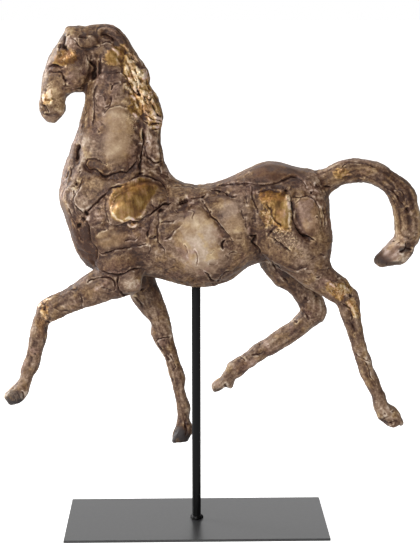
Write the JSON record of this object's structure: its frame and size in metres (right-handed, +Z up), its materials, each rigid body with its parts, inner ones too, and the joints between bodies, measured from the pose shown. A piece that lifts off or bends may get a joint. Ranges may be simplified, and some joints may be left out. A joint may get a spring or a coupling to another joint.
{
  "type": "horse sculpture on stand",
  "caption": "Running horse sculpture with arched neck and curled tail, cast in antiqued stone-like resin with gilt patches, held on a steel rod over a flat rectangular base plate.",
  "frame": {"origin": "middle of the underside of the base plate", "axes": "+Z up, the horse faces -X, its left side is towards -Y"},
  "size_m": [0.4604, 0.127, 0.5615],
  "materials": {
    "antiqued_resin": "cast stone-like resin, rough and cracked, washed in browns, cream and purple-grey, with rubbed gold leaf on the mane, shoulder, hip, hock, knee and brow",
    "rod_black_paint": "satin black paint over steel, lumpy weld bead at the foot",
    "plate_black_paint": "satin black paint over steel plate, edges broken"
  },
  "bodies": {
    "root": {"horse": "antiqued_resin", "stand_rod": "rod_black_paint", "base_plate": "plate_black_paint"}
  },
  "joints": []
}
